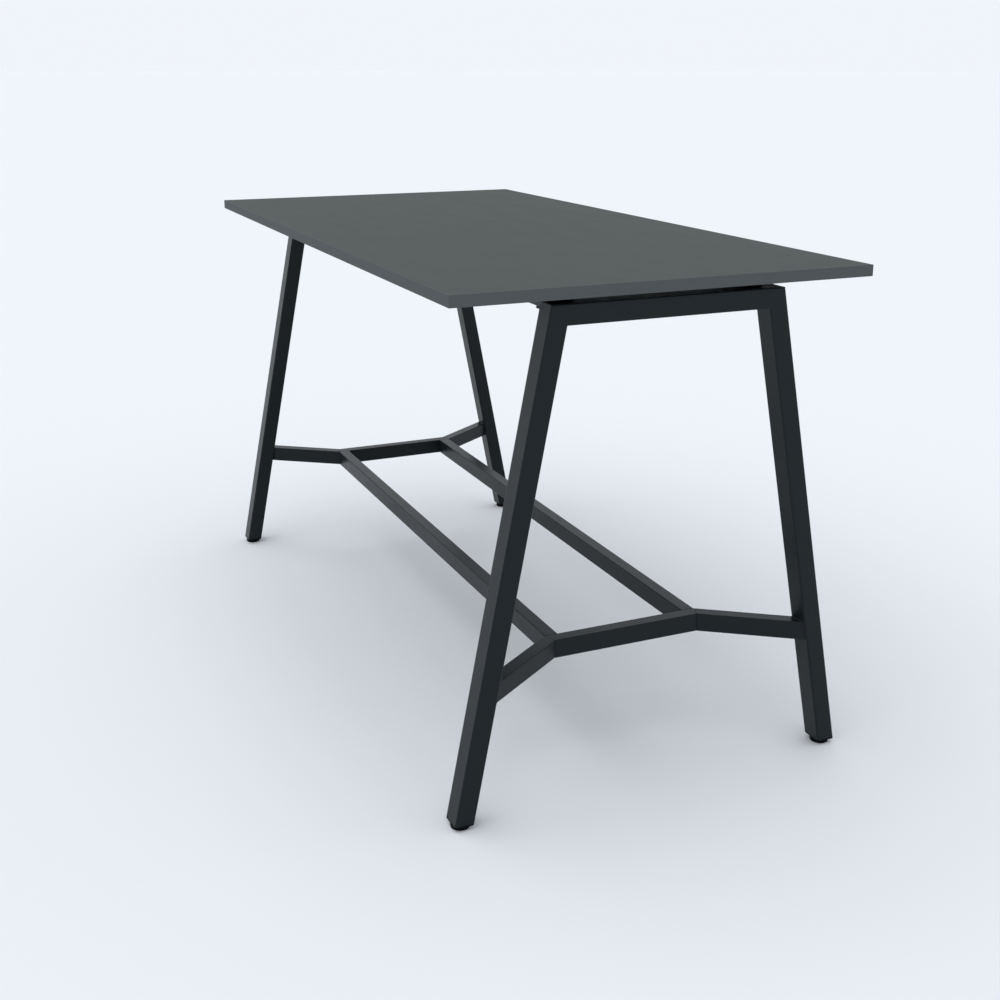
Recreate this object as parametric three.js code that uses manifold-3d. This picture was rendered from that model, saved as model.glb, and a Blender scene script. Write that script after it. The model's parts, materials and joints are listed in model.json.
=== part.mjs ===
// Standing meeting table: a laminated board on two splayed end frames of rectangular steel tube,
// tied together by two rails under the board and by a raised footrest near the floor.
// Millimetres, +Z up, origin on the floor under the middle of the board.
// X runs across the table (right is +X) and Y along it (the near end is -Y).

import * as THREE from 'three';
import { mergeVertices } from 'three/addons/utils/BufferGeometryUtils.js';
import Module from 'manifold-3d';

const wasm = await Module();
wasm.setup();

// Tabletop
const TABLE_LENGTH = 1800;
const TABLE_WIDTH = 900;
const TABLE_HEIGHT = 1050;
const TOP_THICKNESS = 23;
const EDGE_BAND = 2; // thickness of the strip glued round the board
const EDGE_ARRIS = 1; // rounding of the strip's two outer edges

// End frames, mitred from one size of tube
const FRAME_SETBACK = 8; // end edge of the top to the frame's outward face
const SHADOW_GAP = 10; // underside of the top to the top tube
const FRAME_TOP_WIDTH = 500; // across the outer corners at the top
const FRAME_FOOT_WIDTH = 890; // across the outer faces at the legs' lower ends
const LEG_FACE = 40; // tube section in the plane of the frame
const LEG_DEPTH = 50; // tube section along the table
const TOP_TUBE_HEIGHT = 40;
const FRAME_WALL = 2;
const FRAME_CORNER = 4;

// Rails under the top and the plates that seat them
const RAIL_WIDTH = 50;
const RAIL_HEIGHT = 30;
const RAIL_WALL = 2;
const RAIL_CORNER = 3;
const RAIL_INSET = 20; // outer corner of the frame to the rail's outer face
const SEAT_LENGTH = 60;
const SEAT_THICKNESS = 4;

// Footrest
const FOOTREST_TOP = 297.5; // floor to the top of the footrest tubes
const FOOTREST_TUBE_HEIGHT = 40;
const FOOTREST_TUBE_WIDTH = 30;
const FOOTREST_WALL = 2;
const FOOTREST_CORNER = 3;
const CROSS_INSET = 127; // leg centreline to cross tube centreline, along the table
const CROSS_LENGTH = 347; // between the mitre centres of one cross tube
const SPIGOT_LENGTH = 60;
const SPIGOT_WALL = 3;

// Levelling feet
const FOOT_GAP = 10; // floor to the lower ends of the legs
const PLUG_THICKNESS = 8;
const PAD_RADIUS = 19.5;
const PAD_ROUNDING = 1.5;
const PAD_SOCKET_FLOOR = 3;
const STEM_RADIUS = 5;
const STEM_LENGTH = 40;
const STEM_CHAMFER = 1;

// Fasteners
const SEAT_BOLT = { radius: 4, headRadius: 7, headHeight: 4.4, socket: 5, grip: 6 };
const FOOTREST_BOLT = { radius: 3, headRadius: 5.3, headHeight: 3.3, socket: 4, grip: 5 };
const SCREW_RADIUS = 2.4;
const SCREW_HEAD_RADIUS = 4.8;
const SCREW_HEAD_HEIGHT = 3;
const SCREW_COVER = 7; // board left above the point of a screw
const SCREW_TIP = 4;
const SCREW_SLOT = 1.1;
const SCREWS_PER_RAIL = 4;
const SCREW_OFFSET = 60; // inner end of a seat to the nearest screw

// Fits
const WELD_GAP = 0.3; // between pieces that are welded or butted together
const FIT = 0.3; // between a piece and the hole or tube that holds it
const BORE_CORNER = 0.5; // least inside corner radius of a tube
const OVERCUT = 1; // how far a drill runs past the face that it enters or leaves

// Fineness of the round forms
const CORNER_STEPS = 2;
const ROUND_STEPS = 12;
const PAD_STEPS = 24;
const HEXAGON = 6;
const DOME_STEPS = 2;
const DOME_SWEEP = Math.PI / 3; // arc of a fastener's head, from its rim to its flat crown
const MERGE_DISTANCE = 1e-4; // vertices closer than this are one

// Levels and places that follow from the sizes above
const TOP_UNDERSIDE = TABLE_HEIGHT - TOP_THICKNESS;
const FRAME_TOP = TOP_UNDERSIDE - SHADOW_GAP;
const TOP_TUBE_BOTTOM = FRAME_TOP - TOP_TUBE_HEIGHT;
const LEAN = Math.atan2((FRAME_FOOT_WIDTH - FRAME_TOP_WIDTH) / 2, FRAME_TOP - FOOT_GAP);
const LEG_ACROSS = LEG_FACE / Math.cos(LEAN); // the leg's section measured level
const FRAME_Y = TABLE_LENGTH / 2 - FRAME_SETBACK - LEG_DEPTH / 2;
const FRAME_BACK = FRAME_Y - LEG_DEPTH / 2;
const RAIL_X = FRAME_TOP_WIDTH / 2 - RAIL_INSET - RAIL_WIDTH / 2;
const RAIL_BOTTOM = TOP_UNDERSIDE - RAIL_HEIGHT;
const RAIL_END = FRAME_BACK - WELD_GAP;
const SEAT_Y = RAIL_END - SEAT_LENGTH / 2;
const LAST_SCREW_Y = RAIL_END - SEAT_LENGTH - SCREW_OFFSET;
const SCREW_BITE = TOP_THICKNESS - SCREW_COVER;
const FOOTREST_MIDDLE = FOOTREST_TOP - FOOTREST_TUBE_HEIGHT / 2;
const FOOTREST_BOTTOM = FOOTREST_TOP - FOOTREST_TUBE_HEIGHT;
const CROSS_X = CROSS_LENGTH / 2;
const CROSS_Y = FRAME_Y - CROSS_INSET;
const CROSS_BACK = CROSS_Y - FOOTREST_TUBE_WIDTH / 2;
const STUB_END_X = outerLegX(FOOTREST_MIDDLE) - LEG_ACROSS;
const STUB_TURN = Math.atan2(CROSS_INSET, STUB_END_X - CROSS_X);
const FOOTREST_RAIL_OUTER = CROSS_X + (FOOTREST_TUBE_WIDTH / 2) * Math.tan(STUB_TURN / 2);
const FOOTREST_RAIL_X = FOOTREST_RAIL_OUTER - FOOTREST_TUBE_WIDTH / 2;
const FOOTREST_RAIL_END = CROSS_BACK - WELD_GAP;
const SPIGOT_Y = CROSS_BACK - SPIGOT_LENGTH / 2;
const FOOT_X = outerLegX(FOOT_GAP) - LEG_ACROSS / 2;
const PAD_HEIGHT = FOOT_GAP - FIT;
const STEM_BOTTOM = PAD_SOCKET_FLOOR + FIT;

const UP = new THREE.Vector3(0, 0, 1);
const ALONG = new THREE.Vector3(0, 1, 0);
const ACROSS = new THREE.Vector3(1, 0, 0);
const ENDS = { near: -1, far: 1 };
const SIDES = { left: -1, right: 1 };

const LAMINATE = { color: 0x5d6462, roughness: 0.55, metalness: 0 };
const BAND = { color: 0x50565a, roughness: 0.5, metalness: 0 };
const POWDER_COAT = { color: 0x26292b, roughness: 0.5, metalness: 0 };
const ZINC = { color: 0xa8abae, roughness: 0.35, metalness: 1 };
const PAD_PLASTIC = { color: 0x0c0d0e, roughness: 0.6, metalness: 0 };

const table = new THREE.Group();

// Distance from the middle of the table to a leg's outer face at height z
function outerLegX(z) {
  return FRAME_FOOT_WIDTH / 2 - (z - FOOT_GAP) * Math.tan(LEAN);
}

// Calls make(name ending, side, end) for the four corners of the table
function atCorners(make) {
  for (const [endName, end] of Object.entries(ENDS)) {
    for (const [sideName, side] of Object.entries(SIDES)) {
      make(`${endName}_${sideName}`, side, end);
    }
  }
}

function addPart(name, geometry, finish, placement = new THREE.Matrix4()) {
  const mesh = new THREE.Mesh(geometry, new THREE.MeshStandardMaterial(finish));
  mesh.name = name;
  mesh.applyMatrix4(placement);
  table.add(mesh);
}

function at(x, y, z) {
  return new THREE.Matrix4().makeTranslation(x, y, z);
}

// Placement of a tube: its length runs along local z and its section's height along local y
function tubePlacement(origin, direction, heightDirection) {
  const widthDirection = new THREE.Vector3().crossVectors(heightDirection, direction);
  return new THREE.Matrix4().makeBasis(widthDirection, heightDirection, direction).setPosition(origin);
}

function planeThrough(point, normal) {
  return new THREE.Plane().setFromNormalAndCoplanarPoint(normal.clone().normalize(), point);
}

function traceRoundedRectangle(path, width, height, radius) {
  const x = width / 2 - radius;
  const y = height / 2 - radius;
  path.absarc(x, y, radius, 0, Math.PI / 2, false);
  path.absarc(-x, y, radius, Math.PI / 2, Math.PI, false);
  path.absarc(-x, -y, radius, Math.PI, Math.PI * 1.5, false);
  path.absarc(x, -y, radius, Math.PI * 1.5, Math.PI * 2, false);
  path.closePath();
  return path;
}

function barSection(width, height, radius) {
  return traceRoundedRectangle(new THREE.Shape(), width, height, radius);
}

function tubeSection(width, height, radius, wall) {
  const section = barSection(width, height, radius);
  const bore = new THREE.Path();
  traceRoundedRectangle(bore, width - 2 * wall, height - 2 * wall, Math.max(radius - wall, BORE_CORNER));
  section.holes.push(bore);
  return section;
}

// A section carried along local z, with each end slid onto the plane that cuts it
function cutLength(section, placement, startPlane, endPlane) {
  const options = { depth: 1, bevelEnabled: false, curveSegments: CORNER_STEPS };
  const geometry = new THREE.ExtrudeGeometry(section, options);
  const toLocal = placement.clone().invert();
  const start = startPlane.clone().applyMatrix4(toLocal);
  const end = endPlane.clone().applyMatrix4(toLocal);
  const position = geometry.attributes.position;
  for (let i = 0; i < position.count; i += 1) {
    const { normal, constant } = position.getZ(i) > 0 ? end : start;
    const reach = normal.x * position.getX(i) + normal.y * position.getY(i) + constant;
    position.setZ(i, -reach / normal.z);
  }
  return geometry;
}

// A square-ended length centred on its placement
function straightLength(section, length) {
  const options = { depth: length, bevelEnabled: false, curveSegments: CORNER_STEPS };
  return new THREE.ExtrudeGeometry(section, options).translate(0, 0, -length / 2);
}

// A profile of [radius, height] points turned about z
function turned(profile, steps = ROUND_STEPS) {
  const points = profile.map(([radius, height]) => new THREE.Vector2(radius, height));
  return new THREE.LatheGeometry(points, steps).rotateX(Math.PI / 2);
}

function drill(radius, bottom, top) {
  const hole = new THREE.CylinderGeometry(radius, radius, top - bottom, ROUND_STEPS);
  return hole.rotateX(Math.PI / 2).translate(0, 0, (top + bottom) / 2);
}

function toSolid(geometry) {
  const bare = geometry.clone();
  bare.deleteAttribute('normal');
  bare.deleteAttribute('uv');
  const merged = mergeVertices(bare, MERGE_DISTANCE);
  const mesh = new wasm.Mesh({
    numProp: 3,
    vertProperties: new Float32Array(merged.attributes.position.array),
    triVerts: new Uint32Array(merged.index.array),
  });
  return new wasm.Manifold(mesh);
}

function cutAway(geometry, tools) {
  let solid = toSolid(geometry);
  for (const tool of tools) {
    solid = solid.subtract(toSolid(tool));
  }
  const { vertProperties, triVerts } = solid.getMesh();
  const result = new THREE.BufferGeometry();
  result.setAttribute('position', new THREE.BufferAttribute(vertProperties, 3));
  result.setIndex(new THREE.BufferAttribute(triVerts, 1));
  result.computeVertexNormals();
  return result;
}

// Positions of the wood screws along one rail
function screwPlaces() {
  const pitch = (2 * LAST_SCREW_Y) / (SCREWS_PER_RAIL - 1);
  return Array.from({ length: SCREWS_PER_RAIL }, (_, i) => i * pitch - LAST_SCREW_Y);
}

// Board with a blind pilot hole over every wood screw
function addTabletop() {
  const width = TABLE_WIDTH - 2 * EDGE_BAND;
  const length = TABLE_LENGTH - 2 * EDGE_BAND;
  const board = new THREE.BoxGeometry(width, length, TOP_THICKNESS);
  board.translate(0, 0, TABLE_HEIGHT - TOP_THICKNESS / 2);
  const pilotTop = TOP_UNDERSIDE + SCREW_BITE + FIT;
  const pilots = [];
  for (const side of Object.values(SIDES)) {
    for (const y of screwPlaces()) {
      const pilot = drill(SCREW_RADIUS + FIT, TOP_UNDERSIDE - OVERCUT, pilotTop);
      pilots.push(pilot.translate(side * RAIL_X, y, 0));
    }
  }
  addPart('tabletop_panel', cutAway(board, pilots), LAMINATE);
}

// Strip whose outer face is on its local +x side and whose height runs along local y
function edgeBand(length) {
  const half = TOP_THICKNESS / 2;
  const arris = Math.min(EDGE_ARRIS, EDGE_BAND);
  const outline = new THREE.Shape();
  outline.moveTo(-EDGE_BAND, -half);
  outline.absarc(-arris, -half + arris, arris, -Math.PI / 2, 0, false);
  outline.absarc(-arris, half - arris, arris, 0, Math.PI / 2, false);
  outline.lineTo(-EDGE_BAND, half);
  outline.closePath();
  return straightLength(outline, length);
}

// The long strips run the full length and the end strips fit between them
function addEdgeBands() {
  const middle = TABLE_HEIGHT - TOP_THICKNESS / 2;
  for (const [name, side] of Object.entries(SIDES)) {
    const origin = new THREE.Vector3((side * TABLE_WIDTH) / 2, 0, middle);
    const direction = ALONG.clone().multiplyScalar(-side);
    addPart(`edge_band_${name}`, edgeBand(TABLE_LENGTH), BAND, tubePlacement(origin, direction, UP));
  }
  for (const [name, end] of Object.entries(ENDS)) {
    const origin = new THREE.Vector3(0, (end * TABLE_LENGTH) / 2, middle);
    const direction = ACROSS.clone().multiplyScalar(end);
    const strip = edgeBand(TABLE_WIDTH - 2 * EDGE_BAND);
    addPart(`edge_band_${name}`, strip, BAND, tubePlacement(origin, direction, UP));
  }
}

// Plane of the mitre between a leg and the top tube, moved along x by shift
function frameMitre(side, shift) {
  const outer = new THREE.Vector3(side * (outerLegX(FRAME_TOP) + shift), 0, FRAME_TOP);
  const innerX = outerLegX(TOP_TUBE_BOTTOM) - LEG_ACROSS;
  const inner = new THREE.Vector3(side * (innerX + shift), 0, TOP_TUBE_BOTTOM);
  const normal = new THREE.Vector3().crossVectors(outer.clone().sub(inner), ALONG);
  return planeThrough(outer, normal);
}

function legPlacement(side, end) {
  const origin = new THREE.Vector3(side * FOOT_X, end * FRAME_Y, FOOT_GAP);
  const direction = new THREE.Vector3(-side * Math.sin(LEAN), 0, Math.cos(LEAN));
  return tubePlacement(origin, direction, ALONG);
}

function levelPlane(z) {
  return planeThrough(new THREE.Vector3(0, 0, z), UP);
}

function addEndFrames() {
  const legSection = tubeSection(LEG_FACE, LEG_DEPTH, FRAME_CORNER, FRAME_WALL);
  atCorners((name, side, end) => {
    const placement = legPlacement(side, end);
    const leg = cutLength(legSection, placement, levelPlane(FOOT_GAP), frameMitre(side, WELD_GAP));
    addPart(`leg_${name}`, leg, POWDER_COAT, placement);
  });
  const topSection = tubeSection(LEG_DEPTH, TOP_TUBE_HEIGHT, FRAME_CORNER, FRAME_WALL);
  for (const [name, end] of Object.entries(ENDS)) {
    const origin = new THREE.Vector3(0, end * FRAME_Y, FRAME_TOP - TOP_TUBE_HEIGHT / 2);
    const placement = tubePlacement(origin, ACROSS, UP);
    const tube = cutLength(topSection, placement, frameMitre(-1, 0), frameMitre(1, 0));
    addPart(`top_tube_${name}`, tube, POWDER_COAT, placement);
  }
}

// Profile of a domed head that hangs below z = 0, from the middle of its flat crown to its rim
function domedHead(radius, height) {
  const points = [[0, -height]];
  for (let i = DOME_STEPS; i >= 0; i -= 1) {
    const angle = (i / DOME_STEPS) * DOME_SWEEP;
    points.push([radius * Math.cos(angle), (-height * Math.sin(angle)) / Math.sin(DOME_SWEEP)]);
  }
  return points;
}

// Button head below z = 0 with a hexagon socket, shank above it
function buttonBolt({ radius, headRadius, headHeight, socket, grip }, through) {
  const shank = [
    [radius, 0],
    [radius, through + grip],
    [0, through + grip],
  ];
  const profile = [...domedHead(headRadius, headHeight), ...shank];
  // A socket is sized across its flats, and the tool that cuts it across its corners
  const socketRadius = socket / 2 / Math.cos(Math.PI / HEXAGON);
  const hexagon = new THREE.CylinderGeometry(socketRadius, socketRadius, headHeight, HEXAGON);
  hexagon.rotateX(Math.PI / 2).translate(0, 0, -headHeight);
  return cutAway(turned(profile), [hexagon]);
}

// Pan head below z = 0 with a cross slot, pointed shank above it
function woodScrew() {
  const length = RAIL_HEIGHT + SCREW_BITE;
  const shank = [
    [SCREW_RADIUS, 0],
    [SCREW_RADIUS, length - SCREW_TIP],
    [0, length],
  ];
  const profile = [...domedHead(SCREW_HEAD_RADIUS, SCREW_HEAD_HEIGHT), ...shank];
  const slots = [0, Math.PI / 2].map((turn) => {
    const slot = new THREE.BoxGeometry(SCREW_HEAD_RADIUS, SCREW_SLOT, SCREW_HEAD_HEIGHT);
    return slot.rotateZ(turn).translate(0, 0, -SCREW_HEAD_HEIGHT);
  });
  return cutAway(turned(profile), slots);
}

// Flat tubes under the board, drilled for the seat bolts and the wood screws
function addTopRails() {
  const section = tubeSection(RAIL_WIDTH, RAIL_HEIGHT, RAIL_CORNER, RAIL_WALL);
  const lying = tubePlacement(new THREE.Vector3(), ALONG, UP);
  for (const [name, side] of Object.entries(SIDES)) {
    const tube = straightLength(section, 2 * RAIL_END).applyMatrix4(lying);
    const holes = screwPlaces().map((y) => {
      return drill(SCREW_RADIUS + FIT, -RAIL_HEIGHT, RAIL_HEIGHT).translate(0, y, 0);
    });
    for (const end of Object.values(ENDS)) {
      holes.push(drill(SEAT_BOLT.radius + FIT, -RAIL_HEIGHT, 0).translate(0, end * SEAT_Y, 0));
    }
    const placement = at(side * RAIL_X, 0, RAIL_BOTTOM + RAIL_HEIGHT / 2);
    addPart(`top_rail_${name}`, cutAway(tube, holes), POWDER_COAT, placement);
    screwPlaces().forEach((y, i) => {
      addPart(`top_screw_${name}_${i + 1}`, woodScrew(), ZINC, at(side * RAIL_X, y, RAIL_BOTTOM));
    });
  }
}

// Plates welded to the backs of the top tubes, each with the bolt that holds a rail down on it
function addRailSeats() {
  atCorners((name, side, end) => {
    const outline = new THREE.Shape();
    outline.moveTo(-RAIL_WIDTH / 2, -SEAT_LENGTH / 2);
    outline.lineTo(RAIL_WIDTH / 2, -SEAT_LENGTH / 2);
    outline.lineTo(RAIL_WIDTH / 2, SEAT_LENGTH / 2);
    outline.lineTo(-RAIL_WIDTH / 2, SEAT_LENGTH / 2);
    outline.closePath();
    const hole = new THREE.Path();
    hole.absarc(0, 0, SEAT_BOLT.radius + FIT, 0, Math.PI * 2, true);
    outline.holes.push(hole);
    const options = { depth: SEAT_THICKNESS, bevelEnabled: false, curveSegments: ROUND_STEPS / 2 };
    const plate = new THREE.ExtrudeGeometry(outline, options);
    const bottom = RAIL_BOTTOM - SEAT_THICKNESS;
    addPart(`rail_seat_${name}`, plate, POWDER_COAT, at(side * RAIL_X, end * SEAT_Y, bottom));
    const bolt = buttonBolt(SEAT_BOLT, SEAT_THICKNESS + RAIL_WALL);
    addPart(`seat_bolt_${name}`, bolt, ZINC, at(side * RAIL_X, end * SEAT_Y, bottom));
  });
}

// Upright plane of the mitre between a cross tube and its stub, moved outward along x by shift
function footrestMitre(side, end, shift) {
  const point = new THREE.Vector3(side * (CROSS_X + shift), end * CROSS_Y, 0);
  const normal = new THREE.Vector3(side * Math.cos(STUB_TURN / 2), end * Math.sin(STUB_TURN / 2), 0);
  return planeThrough(point, normal);
}

// Inner face of a leg, moved off it by gap
function legInnerFace(side, gap) {
  const point = new THREE.Vector3(side * (outerLegX(FOOT_GAP) - LEG_ACROSS - gap), 0, FOOT_GAP);
  const normal = new THREE.Vector3(side * Math.cos(LEAN), 0, Math.sin(LEAN));
  return planeThrough(point, normal);
}

// Cross tubes at each end and the slanting stubs that carry them from the legs
function addFootrestEnds() {
  const section = tubeSection(FOOTREST_TUBE_WIDTH, FOOTREST_TUBE_HEIGHT, FOOTREST_CORNER, FOOTREST_WALL);
  for (const [name, end] of Object.entries(ENDS)) {
    const origin = new THREE.Vector3(0, end * CROSS_Y, FOOTREST_MIDDLE);
    const placement = tubePlacement(origin, ACROSS, UP);
    const tube = cutLength(section, placement, footrestMitre(-1, end, 0), footrestMitre(1, end, 0));
    addPart(`footrest_cross_${name}`, tube, POWDER_COAT, placement);
  }
  atCorners((name, side, end) => {
    const origin = new THREE.Vector3(side * CROSS_X, end * CROSS_Y, FOOTREST_MIDDLE);
    const direction = new THREE.Vector3(side * Math.cos(STUB_TURN), end * Math.sin(STUB_TURN), 0);
    const placement = tubePlacement(origin, direction, UP);
    const start = footrestMitre(side, end, WELD_GAP);
    const stub = cutLength(section, placement, start, legInnerFace(side, WELD_GAP));
    addPart(`footrest_stub_${name}`, stub, POWDER_COAT, placement);
  });
}

// Long footrest tubes that slide over spigots on the cross tubes and are bolted from below
function addFootrestRails() {
  const section = tubeSection(FOOTREST_TUBE_WIDTH, FOOTREST_TUBE_HEIGHT, FOOTREST_CORNER, FOOTREST_WALL);
  const spigotWidth = FOOTREST_TUBE_WIDTH - 2 * (FOOTREST_WALL + FIT);
  const spigotHeight = FOOTREST_TUBE_HEIGHT - 2 * (FOOTREST_WALL + FIT);
  const spigotSection = tubeSection(spigotWidth, spigotHeight, FOOTREST_CORNER, SPIGOT_WALL);
  const lying = tubePlacement(new THREE.Vector3(), ALONG, UP);
  const boltHole = drill(FOOTREST_BOLT.radius + FIT, -FOOTREST_TUBE_HEIGHT, 0);
  for (const [name, side] of Object.entries(SIDES)) {
    const tube = straightLength(section, 2 * FOOTREST_RAIL_END).applyMatrix4(lying);
    const holes = Object.values(ENDS).map((end) => boltHole.clone().translate(0, end * SPIGOT_Y, 0));
    const placement = at(side * FOOTREST_RAIL_X, 0, FOOTREST_MIDDLE);
    addPart(`footrest_rail_${name}`, cutAway(tube, holes), POWDER_COAT, placement);
  }
  atCorners((name, side, end) => {
    const blank = straightLength(spigotSection, SPIGOT_LENGTH).applyMatrix4(lying);
    const spigot = cutAway(blank, [boltHole]);
    const placement = at(side * FOOTREST_RAIL_X, end * SPIGOT_Y, FOOTREST_MIDDLE);
    addPart(`rail_spigot_${name}`, spigot, POWDER_COAT, placement);
    const bolt = buttonBolt(FOOTREST_BOLT, FOOTREST_WALL + FIT + SPIGOT_WALL);
    const boltPlacement = at(side * FOOTREST_RAIL_X, end * SPIGOT_Y, FOOTREST_BOTTOM);
    addPart(`footrest_bolt_${name}`, bolt, ZINC, boltPlacement);
  });
}

// Threaded plug that closes the lower end of a leg
function legPlug(side, end) {
  const width = LEG_FACE - 2 * (FRAME_WALL + FIT);
  const depth = LEG_DEPTH - 2 * (FRAME_WALL + FIT);
  const section = barSection(width, depth, FRAME_CORNER);
  const placement = legPlacement(side, end);
  const top = FOOT_GAP + PLUG_THICKNESS;
  const blank = cutLength(section, placement, levelPlane(FOOT_GAP), levelPlane(top));
  const thread = drill(STEM_RADIUS + FIT, FOOT_GAP - OVERCUT, top + OVERCUT);
  thread.translate(side * FOOT_X, end * FRAME_Y, 0);
  return cutAway(blank.applyMatrix4(placement), [thread]);
}

function footPad() {
  const bore = STEM_RADIUS + FIT;
  const profile = [
    [0, 0],
    [PAD_RADIUS - PAD_ROUNDING, 0],
    [PAD_RADIUS, PAD_ROUNDING],
    [PAD_RADIUS, PAD_HEIGHT - PAD_ROUNDING],
    [PAD_RADIUS - PAD_ROUNDING, PAD_HEIGHT],
    [bore, PAD_HEIGHT],
    [bore, PAD_SOCKET_FLOOR],
    [0, PAD_SOCKET_FLOOR],
  ];
  return turned(profile, PAD_STEPS);
}

function footStem() {
  const top = STEM_BOTTOM + STEM_LENGTH;
  const profile = [
    [0, STEM_BOTTOM],
    [STEM_RADIUS, STEM_BOTTOM],
    [STEM_RADIUS, top - STEM_CHAMFER],
    [STEM_RADIUS - STEM_CHAMFER, top],
    [0, top],
  ];
  return turned(profile);
}

// Levelling feet: each pad turns its stem in the leg's plug and so screws up or down
function addFeet() {
  atCorners((name, side, end) => {
    addPart(`leg_plug_${name}`, legPlug(side, end), POWDER_COAT);
    addPart(`foot_stem_${name}`, footStem(), ZINC, at(side * FOOT_X, end * FRAME_Y, 0));
    addPart(`foot_pad_${name}`, footPad(), PAD_PLASTIC, at(side * FOOT_X, end * FRAME_Y, 0));
  });
}

addTabletop();
addEdgeBands();
addEndFrames();
addTopRails();
addRailSeats();
addFootrestEnds();
addFootrestRails();
addFeet();

export default table;
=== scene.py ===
"""Finished surfaces of a standing meeting table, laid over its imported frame.

Metres, with +Z up and +Y along the table. Each piece takes its place and size from the frame's nodes.
Tubes are swept between the planes that cut them, round pieces are turned about an upright axis, and every
surface keeps the exact normals of its formula.
"""

import json
import math
from typing import NamedTuple

import bpy
import numpy as np
from bpy.props import FloatProperty, FloatVectorProperty, PointerProperty
from mathutils import Matrix, Vector


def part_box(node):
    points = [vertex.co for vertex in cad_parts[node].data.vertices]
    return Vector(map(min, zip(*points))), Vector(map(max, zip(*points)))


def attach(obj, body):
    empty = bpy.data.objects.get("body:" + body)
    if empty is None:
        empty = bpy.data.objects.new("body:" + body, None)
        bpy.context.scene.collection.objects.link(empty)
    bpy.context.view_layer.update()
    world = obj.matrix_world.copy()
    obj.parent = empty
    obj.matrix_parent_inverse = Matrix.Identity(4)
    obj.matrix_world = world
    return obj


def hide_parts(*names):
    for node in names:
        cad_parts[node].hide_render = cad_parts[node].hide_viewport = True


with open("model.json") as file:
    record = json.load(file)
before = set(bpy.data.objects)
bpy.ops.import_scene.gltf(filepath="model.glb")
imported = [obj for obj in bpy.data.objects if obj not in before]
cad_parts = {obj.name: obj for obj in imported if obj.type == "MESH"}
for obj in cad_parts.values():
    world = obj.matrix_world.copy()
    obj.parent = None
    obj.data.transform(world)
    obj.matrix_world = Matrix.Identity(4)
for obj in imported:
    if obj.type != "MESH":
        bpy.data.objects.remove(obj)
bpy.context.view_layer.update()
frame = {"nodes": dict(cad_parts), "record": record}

bl_info = {
    "name": "Standing Meeting Table",
    "version": (1, 0, 0),
    "blender": (4, 5, 0),
    "location": "View3D > Sidebar > Table",
    "description": "Builds the finished surfaces of a standing meeting table over its frame",
    "category": "Add Mesh",
}

ENDS = {"near": -1, "far": 1}
SIDES = {"left": -1, "right": 1}
CORNERS = [f"{end}_{side}" for end in ENDS for side in SIDES]
ACROSS, ALONG, UP = np.eye(3)
QUARTER_TURN = np.pi / 2
WHOLE_TURN = 2 * np.pi

# How far a stem goes in one turn of its pad
THREAD_PITCH = WHOLE_TURN * frame["record"]["behaviour"]["couplings"][0]["ratio"]

# Fineness of the surfaces
CORNER_STEPS = 8
ROUND_STEPS = 72
RING_SPACING = 0.04
ROUND_WELD_STEPS = 240
STRAIGHT_WELD_POINTS = 120
WELD_ROWS = 7
THREAD_ROWS_PER_TURN = 12
MERGE_DISTANCE = 1e-6
MERGE_OFFSET = 0.317  # keeps coordinates off the rounding limits when points are merged

# Details that stay the same whatever the table's size
BORE_CORNER = 0.25  # least corner radius of a tube's bore, as a share of its wall
WELD_RIPPLE_PITCH = 0.003
WELD_RIPPLE = 0.035  # swell of a bead at each ripple, as a share of its size
WELD_CROWN = 0.85  # below 1, a bead's face stands proud of straight
WELD_TAPER = 0.25  # the smaller, the blunter a bead's ends
DOME_SWEEP = np.pi / 3  # arc of a fastener's dome, from its rim to its flat crown
RECESS_DEPTH = 0.5  # depth of a tool recess, as a share of its head
SOCKET_TAPER = 1.0  # floor of a hexagon recess, as a share of its mouth
CROSS_TAPER = 0.6  # the same for a cross
THREAD_FLAT = 0.25  # crest of a thread, and its root, as a share of its pitch
PAD_HUB = 0.3  # flat middle of a pad's underside, as a share of its radius
PAD_RING = 0.78  # inner edge of the ring that a pad stands on, likewise
PAD_SOCKET_GAP = 0.0003
NOISE_LOW = 0.3  # nearly all of a noise lies between these two
NOISE_HIGH = 0.7


class Patch(NamedTuple):
    """A grid of points with the outward normal at each. A flat patch shows its facets instead."""

    points: np.ndarray
    normals: np.ndarray
    flat: bool = False


class Cut(NamedTuple):
    """A plane that ends a tube: a point on it, and its normal, which points out of the tube."""

    point: np.ndarray
    normal: np.ndarray

    def flipped(self):
        """The same plane, for the tube on its other side."""
        return Cut(self.point, -self.normal)

    def drawn_in(self, distance):
        """The plane moved back into its tube."""
        return Cut(self.point - distance * self.normal, self.normal)


class Run(NamedTuple):
    """A straight run of tube: a point on its middle line, its direction, and its section's own up."""

    middle: np.ndarray
    along: np.ndarray
    up: np.ndarray

    def axes(self):
        """Directions of the section's width and height."""
        return np.stack([np.cross(self.up, self.along), self.up])


# Meshes


def span(node):
    """Lowest and highest corner of a node of the frame, as arrays."""
    low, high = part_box(node)
    return np.array(low), np.array(high)


def centre_of(node):
    """Middle of the box of a node."""
    low, high = span(node)
    return (low + high) / 2


def unit(vectors):
    """Vectors divided by their lengths."""
    return vectors / np.linalg.norm(vectors, axis=-1, keepdims=True)


def unit_towards(vectors, side):
    """Unit vectors, each turned round where it points away from its side."""
    return unit(vectors) * np.sign(np.sum(vectors * side, axis=-1, keepdims=True))


def even_patch(points, normal):
    """A patch whose normals are the same in every row."""
    return Patch(points, np.broadcast_to(normal, points.shape))


def cells(grid):
    """Corners of every cell of a grid of vectors: an array of cells by corners by components."""
    corners = [grid[:-1, :-1], grid[1:, :-1], grid[1:, 1:], grid[:-1, 1:]]
    return np.stack(corners, axis=2).reshape(-1, 4, 3)


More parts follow.
